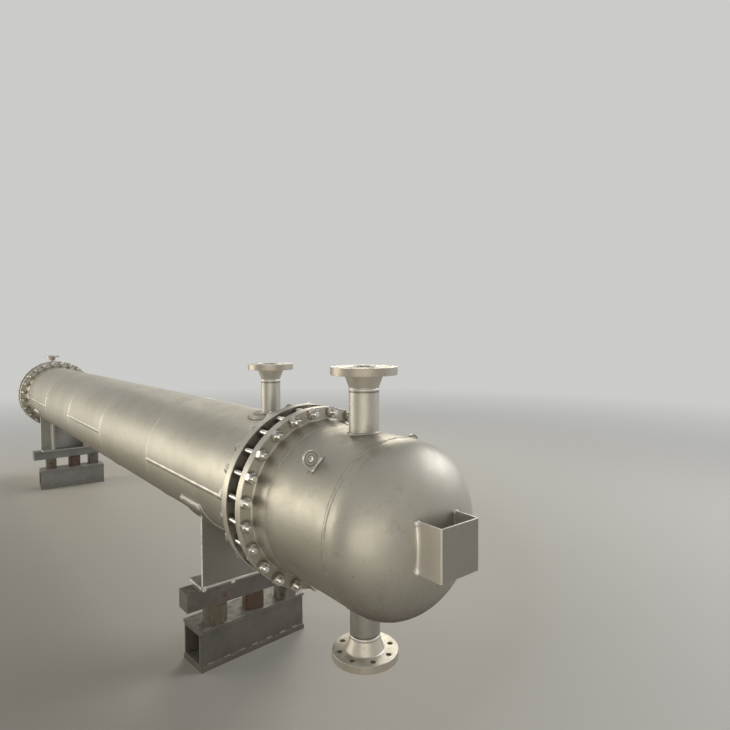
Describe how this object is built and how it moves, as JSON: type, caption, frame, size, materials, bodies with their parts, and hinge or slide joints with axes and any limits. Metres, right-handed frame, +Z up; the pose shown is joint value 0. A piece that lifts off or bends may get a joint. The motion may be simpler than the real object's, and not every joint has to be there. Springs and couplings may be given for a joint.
{
  "type": "shell and tube heat exchanger",
  "caption": "Horizontal shell and tube heat exchanger with bolted channel and bonnet, flanged nozzles and two saddles on steel packing beams.",
  "frame": {"origin": "middle of the floor area under the exchanger, on the floor", "axes": "+X along the exchanger's axis towards the channel head, +Y to the far side, +Z up"},
  "size_m": [6.761, 0.753, 1.517],
  "materials": {
    "body_paint": "satin aluminium paint",
    "flange_paint": "satin aluminium paint",
    "saddle_paint": "satin grey paint",
    "support_paint": "worn grey paint",
    "block_paint": "worn paint with rust",
    "tubesheet_steel": "satin paint over machined steel",
    "tube_steel": "plain",
    "gasket": "matte"
  },
  "bodies": {
    "root": {"channel_head": "body_paint", "channel_barrel": "body_paint", "channel_flange": "flange_paint", "pass_partition": "body_paint", "name_bracket": "body_paint", "channel_lugs": "body_paint", "inlet_neck": "body_paint", "inlet_flange": "body_paint", "outlet_neck": "body_paint", "outlet_flange": "body_paint", "front_gaskets": "gasket", "front_tubesheet": "tubesheet_steel", "shell_flange_front": "flange_paint", "shell_course_a": "body_paint", "shell_course_b": "body_paint", "shell_course_c": "body_paint", "shell_course_d": "body_paint", "shell_course_e": "body_paint", "tube_row": "tube_steel", "shell_flange_rear": "flange_paint", "rear_gaskets": "gasket", "rear_tubesheet": "tubesheet_steel", "bonnet_flange": "flange_paint", "bonnet_barrel": "body_paint", "bonnet_head": "body_paint", "vent_neck": "body_paint", "vent_flange": "body_paint", "shell_inlet_pad": "body_paint", "shell_inlet_neck": "body_paint", "shell_inlet_flange": "body_paint", "shell_outlet_pad": "body_paint", "shell_outlet_neck": "body_paint", "shell_outlet_flange": "body_paint", "front_wear_plate": "saddle_paint", "front_saddle": "saddle_paint", "front_base_plate": "saddle_paint", "front_spreader": "support_paint", "front_blocks": "block_paint", "front_floor_beam": "support_paint", "rear_wear_plate": "saddle_paint", "rear_saddle": "saddle_paint", "rear_base_plate": "saddle_paint", "rear_spreader": "support_paint", "rear_blocks": "block_paint", "rear_floor_beam": "support_paint"}
  },
  "joints": []
}
